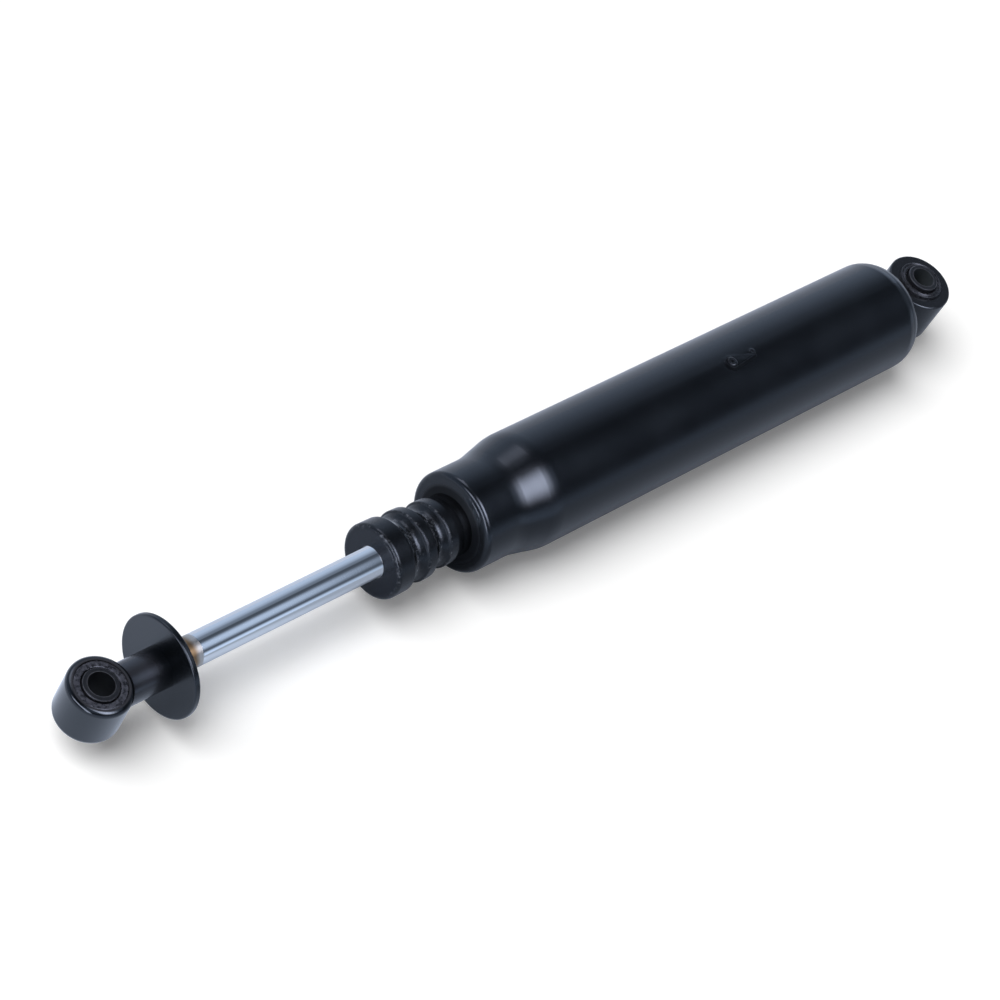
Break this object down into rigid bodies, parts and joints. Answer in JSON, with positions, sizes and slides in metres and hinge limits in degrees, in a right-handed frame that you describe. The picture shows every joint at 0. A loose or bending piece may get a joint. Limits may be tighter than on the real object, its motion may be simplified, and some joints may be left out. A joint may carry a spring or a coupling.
{
  "type": "shock absorber",
  "caption": "Twin-tube shock absorber: necked black tube, chromed rod with a rubber bump stop, and a bushed eye at each end to damp a light vehicle's suspension.",
  "frame": {"origin": "centre of the base eye's bore, midway along its sleeve", "axes": "+X along the shock from the base eye towards the rod eye, +Z along the bores of both eyes"},
  "size_m": [0.4978, 0.0492, 0.0504],
  "materials": {
    "body_paint": "satin black paint",
    "sleeve_paint": "thin black paint over steel",
    "bush_rubber": "moulded black rubber",
    "bump_rubber": "scuffed black rubber",
    "seal_rubber": "moulded rubber",
    "rod_chrome": "polished hard chrome",
    "plain_steel": "oiled steel",
    "sintered_iron": "sintered iron",
    "bearing_polymer": "bronze filled polymer"
  },
  "bodies": {
    "body": {"reservoir_tube": "body_paint", "gas_fill_weld": "body_paint", "base_cap": "body_paint", "base_eye_ring": "body_paint", "base_eye_weld": "body_paint", "base_eye_bush": "bush_rubber", "seal_cover": "plain_steel", "rod_seal": "seal_rubber", "rod_guide": "sintered_iron", "guide_bush": "bearing_polymer", "pressure_tube": "plain_steel", "base_valve_body": "sintered_iron", "base_check_spring": "plain_steel", "compression_discs": "plain_steel", "base_valve_bolt": "plain_steel", "base_valve_nut": "plain_steel"},
    "band": {"piston_band": "bearing_polymer"},
    "rod": {"piston_rod": "rod_chrome", "jounce_washer": "body_paint", "rod_eye_stem": "body_paint", "rod_eye_ring": "body_paint", "rod_eye_bush": "bush_rubber", "rebound_bumper": "seal_rubber", "rebound_collar": "plain_steel", "piston": "sintered_iron", "piston_check_spring": "plain_steel", "piston_support_washer": "plain_steel", "rebound_discs": "plain_steel", "piston_clamp_washer": "plain_steel", "piston_nut": "plain_steel"},
    "bump": {"bump_stop": "bump_rubber"},
    "rod_sleeve": {"rod_eye_sleeve": "sleeve_paint"},
    "base_sleeve": {"base_eye_sleeve": "sleeve_paint"},
    "base_check": {"base_check_plate": "plain_steel"},
    "piston_check": {"piston_check_plate": "plain_steel"}
  },
  "joints": [
    {"name": "rod_stroke", "type": "slide", "parent": "body", "child": "band", "axis": [1, 0, 0], "range_m": [-0.118, 0], "deforming": ["bump_stop"]},
    {"name": "rod_spin", "type": "hinge", "parent": "band", "child": "rod", "pos_m": [0.2127, 0, 0], "axis": [1, 0, 0], "continuous": true},
    {"name": "bump_slide", "type": "slide", "parent": "rod", "child": "bump", "axis": [1, 0, 0], "range_m": [0, 0.118]},
    {"name": "rod_eye_twist", "type": "hinge", "parent": "rod", "child": "rod_sleeve", "pos_m": [0.47, 0, 0], "axis": [0, 0, 1], "range_deg": [-20, 20], "stiffness_Nm_per_rad": 12},
    {"name": "base_eye_twist", "type": "hinge", "parent": "body", "child": "base_sleeve", "pos_m": [0, 0, 0], "axis": [0, 0, 1], "range_deg": [-20, 20], "stiffness_Nm_per_rad": 12},
    {"name": "base_check_lift", "type": "slide", "parent": "body", "child": "base_check", "axis": [1, 0, 0], "range_m": [0, 0.001], "stiffness_N_per_m": 400, "springref_m": -0.003, "deforming": ["base_check_spring"]},
    {"name": "piston_check_lift", "type": "slide", "parent": "rod", "child": "piston_check", "axis": [1, 0, 0], "range_m": [0, 0.001], "stiffness_N_per_m": 400, "springref_m": -0.003, "deforming": ["piston_check_spring"]}
  ],
  "couplings": [
    {"joint": "bump_slide", "follows": "rod_stroke", "ratio": -1}
  ]
}
